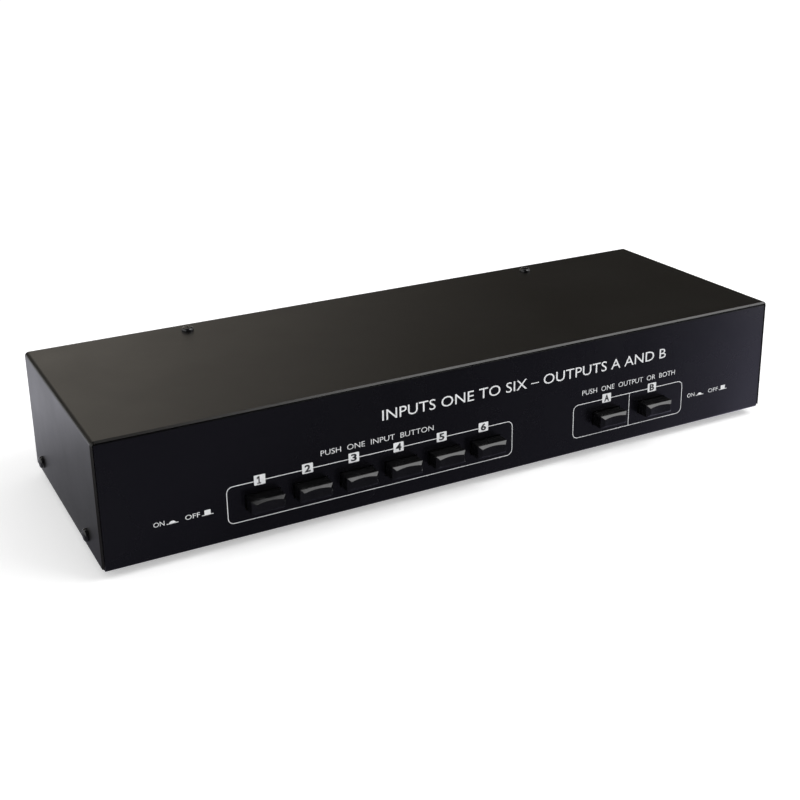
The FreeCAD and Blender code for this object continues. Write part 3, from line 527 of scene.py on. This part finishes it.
# ---------------------------------------------------------------- switches
# Eight push-switches in black mouldings on two zinc-plated rails, with natural-coloured
# plungers, steel springs, and the bar that throws the other inputs out.

BUTTONS = ("1", "2", "3", "4", "5", "6", "a", "b")

moulding = new_finish(
    "switch_moulding", (0.022, 0.022, 0.023), (0.030, 0.030, 0.030), (0.45, 0.6), grain=0.35, depth=0.01,
    patches=7,
)
natural_plastic = new_finish(
    "plunger_moulding", (0.62, 0.61, 0.56), (0.55, 0.54, 0.49), (0.35, 0.5), grain=0.4, depth=0.006,
    patches=6,
)
drawn_wire = new_finish(
    "drawn_wire", (0.42, 0.42, 0.43), (0.34, 0.34, 0.35), (0.25, 0.4), grain=0.2, depth=0.003, patches=3,
    metal=1.0,
)
finish_nodes(moulding, "switch_housings")
finish_nodes(zinc, "latch_bar")
finish_nodes(natural_plastic, *("plunger_" + name for name in BUTTONS))


def loose_parts(node, finish):
    """The separate solids of a node as pieces that stand for it."""
    merged_copy(node + "_part", node)
    bpy.ops.mesh.separate(type="LOOSE")
    bpy.ops.object.mode_set(mode="OBJECT")
    parts = list(bpy.context.selected_objects)
    for part in parts:
        smooth(part)
        coat(part, finish)
        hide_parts(node)
    return parts


# Each spring is named for the part that it pushes: the latch or a button.
for spring in loose_parts("switch_springs", drawn_wire):
    start, end = corners(spring)
    seat = (start + end) / 2
    moving_end = seat.copy()
    if end.x - start.x > end.y - start.y:
        seat.x, moving_end.x, mover, label = end.x, start.x, "latch", "latch_spring"
    else:
        button = min(BUTTONS, key=lambda name: abs(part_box("plunger_" + name)[0].x - start.x))
        seat.y, moving_end.y, mover, label = end.y, start.y, "button_" + button, "button_spring_" + button
    spring.name = spring.data.name = label
    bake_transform(spring)

# ---------------------------------------------------------------- button caps
# Black moulded caps pushed on the plungers. Each has a broad chamfer round a face that is
# hollowed from side to side for a fingertip, and a square socket behind.

CHAMFER = 1.6 * MM
HOLLOW = 0.55 * MM
HOLLOW_CUTS = 11
CAP_EDGE = 0.22 * MM
CAP_SHARP_ANGLE, CAP_SMOOTH_ANGLE = 25, 40  # degrees: edges that are rounded, and that stay sharp
SOCKET, SOCKET_DEPTH = 4.1 * MM, 6 * MM
SOCKET_INSET = 1 * MM  # a first inset, which is then sized to the socket
FACING = 0.9  # a face looks along a direction if its normal has more than this of it

cap_plastic = new_finish(
    "cap_moulding", (0.0030, 0.0030, 0.0034), (0.0044, 0.0044, 0.0048), (0.16, 0.24),
    grain=0.25, depth=0.002, patches=5,
)

cap_low, cap_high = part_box("button_cap_1")
cap_size = cap_high - cap_low
cap_middle = (cap_low + cap_high) / 2
bpy.ops.mesh.primitive_cube_add(size=1, location=cap_middle + Vector((0, CHAMFER / 2, 0)))
cap = bpy.context.object
cap.scale = cap_size - Vector((0, CHAMFER, 0))
bpy.ops.object.transform_apply()
bpy.ops.object.mode_set(mode="EDIT")
choose("faces", lambda face: face.normal.y < -FACING)
bpy.ops.mesh.inset(thickness=CHAMFER, depth=CHAMFER)
choose("edges", lambda edge: all(near(end.co.y, cap_low.y) for end in edge.verts)
       and near(edge.verts[0].co.z, edge.verts[1].co.z))
bpy.ops.mesh.subdivide(number_cuts=HOLLOW_CUTS)
reach = cap_size.x / 2 - CHAMFER
bow = (reach ** 2 + HOLLOW ** 2) / (2 * HOLLOW)  # radius of the hollow's arc
for cut in range(1, HOLLOW_CUTS + 1):
    across = reach * (2 * cut / (HOLLOW_CUTS + 1) - 1)
    depth = math.sqrt(bow ** 2 - across ** 2) - (bow - HOLLOW)
    for end in (-1, 1):
        edge_z = cap_middle.z + end * (cap_size.z / 2 - CHAMFER)
        choose("verts", lambda point: near(point.co.x, cap_middle.x + across)
               and near(point.co.y, cap_low.y) and near(point.co.z, edge_z))
        bpy.ops.transform.translate(value=(0, depth, end * depth))
choose("faces", lambda face: face.normal.y > FACING)
bpy.ops.mesh.inset(thickness=SOCKET_INSET)
bpy.ops.transform.resize(
    value=(SOCKET / (cap_size.x - 2 * SOCKET_INSET), 1, SOCKET / (cap_size.z - 2 * SOCKET_INSET)),
    center_override=(cap_middle.x, cap_high.y, cap_middle.z),
)
bpy.ops.mesh.extrude_region_move(TRANSFORM_OT_translate={"value": (0, -SOCKET_DEPTH, 0)})
bpy.ops.mesh.select_mode(type="EDGE")
bpy.ops.mesh.select_all(action="DESELECT")
bpy.ops.mesh.edges_select_sharp(sharpness=math.radians(CAP_SHARP_ANGLE))
bpy.ops.mesh.bevel(offset=CAP_EDGE, segments=3)
bpy.ops.mesh.select_all(action="SELECT")
bpy.ops.mesh.normals_make_consistent(inside=False)
bpy.ops.object.mode_set(mode="OBJECT")
smooth(cap, CAP_SMOOTH_ANGLE)
for name in BUTTONS:
    piece = new_copy("cap_" + name, cap)
    piece.data.transform(Matrix.Translation(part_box("button_cap_" + name)[0] - cap_low))
    dress(piece, "button_" + name, "cap_moulding", cap_plastic, "button_cap_" + name)
bpy.data.objects.remove(cap)

# ---------------------------------------------------------------- speaker terminals
# Four black moulded blocks screwed to the rear wall, each with two stereo pairs of spring
# clips: the left channel above and the right below, red for plus and black for minus.

CHANNELS = ("left", "right")
TERMINALS = [
    f"{pair}_{channel}_{colour}" for pair in BUTTONS for channel in CHANNELS for colour in ("red", "black")
]
MOULDED_EDGE, LEVER_EDGE = 0.25 * MM, 0.2 * MM
LEAF_HEIGHT, LEAF_FOOT = 9.9 * MM, 1.0 * MM

block_plastic = new_finish(
    "terminal_moulding", (0.014, 0.014, 0.015), (0.019, 0.019, 0.020), (0.42, 0.55), grain=0.4, depth=0.012,
    patches=9, specular=0.4,
)
tin = new_finish(
    "tinned_contact", (0.66, 0.64, 0.58), (0.58, 0.55, 0.48), (0.25, 0.4), grain=0.3, depth=0.003, patches=4,
    metal=1.0,
)
lever_finish = {
    "red": new_finish(
        "red_lever", (0.42, 0.012, 0.010), (0.36, 0.010, 0.009), (0.25, 0.36), grain=0.3, depth=0.005,
        patches=5,
    ),
    "black": new_finish(
        "black_lever", (0.012, 0.012, 0.013), (0.017, 0.017, 0.018), (0.25, 0.36), grain=0.3, depth=0.005,
        patches=5,
    ),
}
eased("terminal_housings", "terminal_blocks", "case", "terminal_moulding", block_plastic, MOULDED_EDGE)

# Each leaf is named for the terminal whose lever is nearest to its head.
lever_middles = {name: sum(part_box("lever_" + name), Vector()) / 2 for name in TERMINALS}
for leaf in loose_parts("terminal_contacts", tin):
    start, end = corners(leaf)
    head = Vector(((start.x + end.x) / 2, end.y, end.z))
    name = min(TERMINALS, key=lambda terminal: (lever_middles[terminal] - head).xz.length)
    foot = head - Vector((0, 0, LEAF_HEIGHT))
    leaf.name = leaf.data.name = "leaf_" + name
    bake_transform(leaf)
for name in TERMINALS:
    colour = name.rsplit("_", 1)[1]
    eased(
        "lever_" + name, "clip_lever_" + name, "clip_" + name, "lever_" + colour, lever_finish[colour],
        LEVER_EDGE,
    )

# ---------------------------------------------------------------- printing on the rear wall
# The same white ink: a number or letter over each stereo pair, plus and minus under the clips, and
# the channel's letter at both ends of each row.

POLE_HALF, MINUS_HALF, POLE_DROP, POLE_WEIGHT = 1.1 * MM, 0.22 * MM, 2.6 * MM, 0.012
REAR_HEIGHT, REAR_WEIGHT = 3.0 * MM, 0.01
PAIR_HALF, PAIR_GAP = 1.15 * MM, 1.1 * MM
CHANNEL_HALF, CHANNEL_GAP, CHANNEL_RISE = 1.0 * MM, 4.2 * MM, 2 * MM

blocks_low, blocks_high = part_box("terminal_housings")
pole_z = blocks_low.z - POLE_DROP
print_rear = []
for pair in BUTTONS:
    clip_middles = []
    for colour, pole, half_height in (("red", "+", POLE_HALF), ("black", "–", MINUS_HALF)):
        x = lever_middles[f"{pair}_left_{colour}"].x
        clip_middles.append(x)
        print_rear.append(printed_words(
            pole, x - POLE_HALF, x + POLE_HALF, pole_z - half_height, pole_z + half_height, POLE_WEIGHT,
            tray_high.y, REAR,
        ))
    print_rear += numeral(
        pair.upper(), sum(clip_middles) / 2, PAIR_HALF, blocks_high.z + PAIR_GAP, REAR_HEIGHT, REAR_WEIGHT,
        tray_high.y, REAR, INK,
    )
for channel in CHANNELS:
    clip_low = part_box(f"lever_1_{channel}_red")[0]
    for x in (blocks_low.x - CHANNEL_GAP, blocks_high.x + CHANNEL_GAP):
        print_rear += numeral(
            channel[0].upper(), x, CHANNEL_HALF, clip_low.z + CHANNEL_RISE, REAR_HEIGHT, REAR_WEIGHT,
            tray_high.y, REAR, INK,
        )
dress(join_pieces("rear_printing", print_rear), "case", "panel_paint", white_ink)

# ---------------------------------------------------------------- feet
# Four low discs of black rubber with a rounded sole and a hollow moulded in it. They are stuck
# under the tray, well in from its edges.

FOOT_RADIUS, FOOT_HEIGHT, FOOT_ROUNDING = 8 * MM, 4 * MM, 0.8 * MM
SOLE_RIM, SOLE_SLOPE, SOLE_HOLLOW = 3.2 * MM, 0.5 * MM, 0.7 * MM
SOLE_AREA = 20 * MM * MM  # only the sole is a larger face that looks down

rubber = new_finish(
    "foot_rubber", (0.016, 0.016, 0.016), (0.026, 0.025, 0.024), (0.75, 0.9), grain=0.5, depth=0.02,
    patches=6, specular=0.3,
)
feet_low, feet_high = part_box("rubber_feet")
foot_places = [
    (x, y) for x in (feet_low.x + FOOT_RADIUS, feet_high.x - FOOT_RADIUS)
    for y in (feet_low.y + FOOT_RADIUS, feet_high.y - FOOT_RADIUS)
]
feet = []
for x, y in foot_places:
    bpy.ops.mesh.primitive_cylinder_add(
        vertices=48, radius=FOOT_RADIUS, depth=FOOT_HEIGHT, location=(x, y, FOOT_HEIGHT / 2),
    )
    foot = bpy.context.object
    bpy.ops.object.transform_apply()
    bpy.ops.object.mode_set(mode="EDIT")
    choose("faces", lambda face: face.normal.z < -FACING)
    bpy.ops.mesh.bevel(offset=FOOT_ROUNDING, segments=3)
    choose("faces", lambda face: face.normal.z < -FACING and face.calc_area() > SOLE_AREA)
    bpy.ops.mesh.inset(thickness=SOLE_RIM)
    bpy.ops.mesh.inset(thickness=SOLE_SLOPE, depth=-SOLE_HOLLOW)
    bpy.ops.object.mode_set(mode="OBJECT")
    smooth(foot)
    feet.append(foot)
dress(join_pieces("moulded_feet", feet), "case", "foot_rubber", rubber, "rubber_feet")

# ---------------------------------------------------------------- top cover
# One sheet of steel folded down at both ends, in a satin black powder paint. The paint gathers
# on the outer corner of each cut edge and makes a slope of it, which shines as a thin line.

COVER_BEND = 2 * MM
EDGE_SLOPE = 0.82 * MM
COVER_EDGE = 0.10 * MM
FACE_REACH = 0.05 * MM  # points nearer than this to the outer face lie on it

cover_paint = new_finish(
    "black_powder_paint", (0.0062, 0.0052, 0.0042), (0.0080, 0.0069, 0.0057), (0.30, 0.37),
    grain=0.45, depth=0.010, patches=60,
)
cover_low, cover_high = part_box("top_cover")


def on_outer_face(place):
    """Whether a point of the cover lies on its outer face, flat or bent."""
    inwards = Vector((cover_high.x - abs(place.x), cover_high.z - place.z))
    if max(inwards) > COVER_BEND:
        return min(inwards) < FACE_REACH
    return near((inwards - Vector((COVER_BEND, COVER_BEND))).length, COVER_BEND, FACE_REACH)


def slope_cut_edges():
    """The outer corners of the front and rear cut edges become slopes."""
    choose("edges", lambda edge: all(
        (near(end.co.y, cover_low.y) or near(end.co.y, cover_high.y)) and on_outer_face(end.co)
        for end in edge.verts
    ) and near(edge.verts[0].co.y, edge.verts[1].co.y))
    bpy.ops.mesh.bevel(offset=EDGE_SLOPE, segments=1)


eased(
    "top_cover", "folded_cover", "case", "cover_paint", cover_paint, COVER_EDGE, shape_first=slope_cut_edges,
)

# ---------------------------------------------------------------- case screws
# Black M3 pan-head screws with a cross recess: two on top, two in each side and two through
# each terminal block.

HEAD_RADIUS, HEAD_HEIGHT, HEAD_ROUNDING = 3 * MM, 1.9 * MM, 1.3 * MM
SHANK_RADIUS, SHANK_LENGTH = 1.5 * MM, 6 * MM
RECESS_SPAN, RECESS_BAR, RECESS_DEPTH = 3.4 * MM, 0.8 * MM, 1.1 * MM
RECESS_TAPER = 0.5  # size of the recess at its bottom, as a share of its size at its mouth
HEAD_SHARP_ANGLE = 30
TOP_SIDE, TOP_END = 101 * MM, 10.5 * MM
SIDE_PLACES, SIDE_RISE = (22.6 * MM, 106 * MM), 8 * MM
BLOCK_PITCH, BLOCK_SCREW, BLOCK_FLANGE = 86 * MM, 38 * MM, 2.5 * MM
SCREW_TURN = 0.7  # radians that each screw is turned further than the one before

black_steel = new_finish(
    "black_oxide", (0.003, 0.003, 0.0035), (0.007, 0.007, 0.008), (0.10, 0.18), grain=0.3, depth=0.004,
    patches=2.5, specular=0.7,
)
bpy.ops.mesh.primitive_cylinder_add(
    vertices=48, radius=HEAD_RADIUS, depth=HEAD_HEIGHT, location=(0, 0, HEAD_HEIGHT / 2),
)
screw = bpy.context.object
bpy.ops.object.transform_apply()
bpy.ops.object.mode_set(mode="EDIT")
choose("faces", lambda face: face.normal.z > FACING)
bpy.ops.mesh.bevel(offset=HEAD_ROUNDING, segments=6)
choose("faces", lambda face: face.normal.z < -FACING)
bpy.ops.mesh.inset(thickness=HEAD_RADIUS - SHANK_RADIUS)
bpy.ops.mesh.extrude_region_move(TRANSFORM_OT_translate={"value": (0, 0, -SHANK_LENGTH)})
bpy.ops.object.mode_set(mode="OBJECT")
bars = []
for turn in (0, math.pi / 2):
    bpy.ops.mesh.primitive_cube_add(
        size=1, location=(0, 0, HEAD_HEIGHT), rotation=(0, 0, turn),
        scale=(RECESS_SPAN, RECESS_BAR, 2 * RECESS_DEPTH),
    )
    bar = bpy.context.object
    bpy.ops.object.transform_apply()
    bpy.ops.object.mode_set(mode="EDIT")
    choose("faces", lambda face: face.normal.z < -FACING)
    bpy.ops.transform.resize(
        value=(RECESS_TAPER, RECESS_TAPER, 1), center_override=(0, 0, HEAD_HEIGHT - RECESS_DEPTH),
    )
    bpy.ops.object.mode_set(mode="OBJECT")
    bars.append(bar)
for bar in bars:
    take(screw)
    cross = screw.modifiers.new("cross", "BOOLEAN")
    cross.operation = "DIFFERENCE"
    cross.object = bar
    put(cross)
    bpy.data.objects.remove(bar)
smooth(screw, HEAD_SHARP_ANGLE)

screw_places = []
for side in (-1, 1):
    screw_places.append(Matrix.Translation((side * TOP_SIDE, cover_high.y - TOP_END, cover_high.z)))
    for along in SIDE_PLACES:
        spot = Matrix.Translation((side * cover_high.x, cover_low.y + along, tray_low.z + SIDE_RISE))
        screw_places.append(spot @ Matrix.Rotation(side * math.pi / 2, 4, "Y"))
    for step in (-1.5, -0.5, 0.5, 1.5):
        x = step * BLOCK_PITCH + side * BLOCK_SCREW
        spot = Matrix.Translation((x, tray_high.y + BLOCK_FLANGE, (blocks_low.z + blocks_high.z) / 2))
        screw_places.append(spot @ Matrix.Rotation(-math.pi / 2, 4, "X"))
screws = []
for number, spot in enumerate(screw_places):
    piece = new_copy(f"screw_{number}", screw)
    piece.data.transform(spot @ Matrix.Rotation(number * SCREW_TURN, 4, "Z"))
    screws.append(piece)
bpy.data.objects.remove(screw)
dress(join_pieces("pan_head_screws", screws), "case", "black_screw", black_steel, "case_screws")

# ---------------------------------------------------------------- studio
# A white floor and surround, one large soft box, and glowing cards that show only in the paint,
# where they keep the white surround out of it. Their tones are painted shade and painted highlights.

FLOOR_WHITE = 0.93
GLOW = 0.40  # plain white added to the floor as it is seen and mirrored
SURROUND = 0.70  # strength of the light that falls on the switch from all round
UPRIGHT = math.pi / 2
WHITE = (1, 1, 1)


def seen_rays(tree):
    """One for a ray from the camera or off a mirror or through glass, and nothing for the rest."""
    path = tree.nodes.new("ShaderNodeLightPath")
    seen = path.outputs["Is Camera Ray"]
    for label in ("Is Glossy Ray", "Is Transmission Ray"):
        either = tree.nodes.new("ShaderNodeMath")
        either.operation = "MAXIMUM"
        join_up(tree, (seen, either.inputs[0]), (path.outputs[label], either.inputs[1]))
        seen = either.outputs[0]
    return seen


bpy.ops.mesh.primitive_plane_add(size=30)
floor = bpy.context.object
floor.name = "floor"
floor_finish = bpy.data.materials.new("floor")
floor_finish.use_nodes = True
tree = floor_finish.node_tree
shader = tree.nodes["Principled BSDF"]
shader.inputs["Base Color"].default_value = (FLOOR_WHITE, FLOOR_WHITE, FLOOR_WHITE, 1)
shader.inputs["Roughness"].default_value = 0.9
shader.inputs["Specular IOR Level"].default_value = 0
white = tree.nodes.new("ShaderNodeEmission")
share = tree.nodes.new("ShaderNodeMath")
share.operation = "MULTIPLY"
share.inputs[1].default_value = GLOW
added = tree.nodes.new("ShaderNodeAddShader")
join_up(
    tree,
    (seen_rays(tree), share.inputs[0]),
    (share.outputs[0], white.inputs["Strength"]),
    (shader.outputs[0], added.inputs[0]),
    (white.outputs[0], added.inputs[1]),
    (added.outputs[0], tree.nodes["Material Output"].inputs["Surface"]),
)
coat(floor, floor_finish)

world = bpy.data.worlds.new("surround")
bpy.context.scene.world = world
world.use_nodes = True
tree = world.node_tree
lit = tree.nodes["Background"]
lit.inputs["Color"].default_value = (*WHITE, 1)
lit.inputs["Strength"].default_value = SURROUND
shown = tree.nodes.new("ShaderNodeBackground")
shown.inputs["Color"].default_value = (*WHITE, 1)
mixed = tree.nodes.new("ShaderNodeMixShader")
join_up(
    tree,
    (seen_rays(tree), mixed.inputs["Fac"]),
    (lit.outputs[0], mixed.inputs[1]),
    (shown.outputs[0], mixed.inputs[2]),
    (mixed.outputs[0], tree.nodes["World Output"].inputs["Surface"]),
)

bpy.ops.object.light_add(type="AREA", location=(0.73, -0.56, 1.06))
soft_box = bpy.context.object
soft_box.name = "soft_box"
soft_box.data.shape = "RECTANGLE"
soft_box.data.size, soft_box.data.size_y = 1.0, 0.7
soft_box.data.energy = 7.5
switch_middle = (cad_box[0] + cad_box[1]) / 2
soft_box.rotation_euler = (soft_box.location - switch_middle).to_track_quat("Z", "Y").to_euler()
soft_box.visible_camera = False


def card(name, place, turn, length, height, tint, tones, slant=0):
    """A glowing card that only mirrors see, whose tones are painted shade and painted highlights. Each
    tone is a place along its length, from 0 to 1, and how bright it glows there. With a slant, the bands of
    tone lie aslant across it."""
    bpy.ops.mesh.primitive_plane_add(size=1, location=place, rotation=turn)
    made = bpy.context.object
    made.name = name
    made.scale = (length, height, 1)
    made.visible_camera = made.visible_diffuse = made.visible_shadow = False
    made.visible_transmission = made.visible_volume_scatter = False
    mirror_glow = bpy.data.materials.new(name)
    mirror_glow.use_nodes = True
    tree = mirror_glow.node_tree
    tree.nodes.remove(tree.nodes["Principled BSDF"])
    where = tree.nodes.new("ShaderNodeTexCoord")
    along = tree.nodes.new("ShaderNodeVectorMath")
    along.operation = "DOT_PRODUCT"
    along.inputs[1].default_value = (1, slant, 0)
    from_end = tree.nodes.new("ShaderNodeMath")
    from_end.operation = "ADD"
    from_end.inputs[1].default_value = 0.5  # from the middle of the card to its left end
    ramp = tree.nodes.new("ShaderNodeValToRGB")
    glow = tree.nodes.new("ShaderNodeEmission")
    stops = ramp.color_ramp.elements
    while len(stops) < len(tones):
        stops.new(0.5)
    for stop, (spot, tone) in zip(stops, tones):
        stop.position = spot
        stop.color = (*(tone * part for part in tint), 1)
    join_up(
        tree,
        (where.outputs["Object"], along.inputs[0]),
        (along.outputs["Value"], from_end.inputs[0]),
        (from_end.outputs[0], ramp.inputs["Fac"]),
        (ramp.outputs["Color"], glow.inputs["Color"]),
        (glow.outputs[0], tree.nodes["Material Output"].inputs["Surface"]),
    )
    coat(made, mirror_glow)


# Painted reflection along the top of the cover: a warm bright band, darker to its right than to its left.
card(
    "rear_card", place=(0.388, 1.449, 1.35), turn=(UPRIGHT, 0, math.radians(-15)), length=4.3, height=2.7,
    tint=(1.0, 0.93, 0.82),
    tones=((0.0, 0.12), (0.30, 0.10), (0.38, 0.48), (0.44, 0.66), (0.48, 0.38), (0.53, 0.24), (0.58, 0.12),
           (0.64, 0.05), (1.0, 0.04)),
)
# Painted shade overhead: a dark glowing sheet in what the top, the left bend and the screws mirror.
card(
    "overhead_card", place=(-0.36, -0.5, 1.0), turn=(0, 0, 0), length=1.32, height=1.6, tint=WHITE,
    tones=((0.0, 0.05), (1.0, 0.05)),
)
# Painted shade of the floor in front as the front panel mirrors it, with a painted violet sheen at the right
# end.
card(
    "front_card", place=(0.05, -0.16675, 0.0005), turn=(0, 0, 0), length=0.6, height=0.2935,
    tint=(1.0, 0.97, 1.32),
    tones=((0.0, 0.14), (0.26, 0.14), (0.39, 0.09), (0.47, 0.09), (0.66, 0.14), (0.74, 0.17), (0.80, 0.30),
           (0.84, 0.38), (0.875, 0.66), (1.0, 0.95)),
    slant=0.50,
)
# Painted reflection of the far floor in front: dark at the left, brighter towards the right.
card(
    "far_front_card", place=(0.3, -0.8, 0.0006), turn=(0, 0, 0), length=2.4, height=0.97,
    tint=(1.0, 0.98, 1.0),
    tones=((0.0, 0.04), (0.42, 0.04), (0.52, 0.15), (0.62, 0.35), (1.0, 0.6)),
)
# Painted shade in front: a dark glowing wall in what the cut edges and the panel mirror.
card(
    "front_wall_card", place=(0.0, -1.29, 0.7), turn=(UPRIGHT, 0, 0), length=3.0, height=1.4, tint=WHITE,
    tones=((0.0, 0.05), (1.0, 0.05)),
)
# Painted shadow of the floor beside the left side: dark near the case, brighter away from it, as that side
# mirrors it.
card(
    "left_card", place=(-0.3155, 0.14, 0.0005), turn=(0, 0, UPRIGHT), length=0.52, height=0.269,
    tint=(0.97, 0.97, 1.07),
    tones=((0.0, 0.10), (0.10, 0.12), (0.25, 0.23), (0.36, 0.34), (0.45, 0.70), (0.52, 0.93), (0.58, 0.86),
           (1.0, 0.83)),
)
bpy.context.scene.view_settings.view_transform = "Standard"
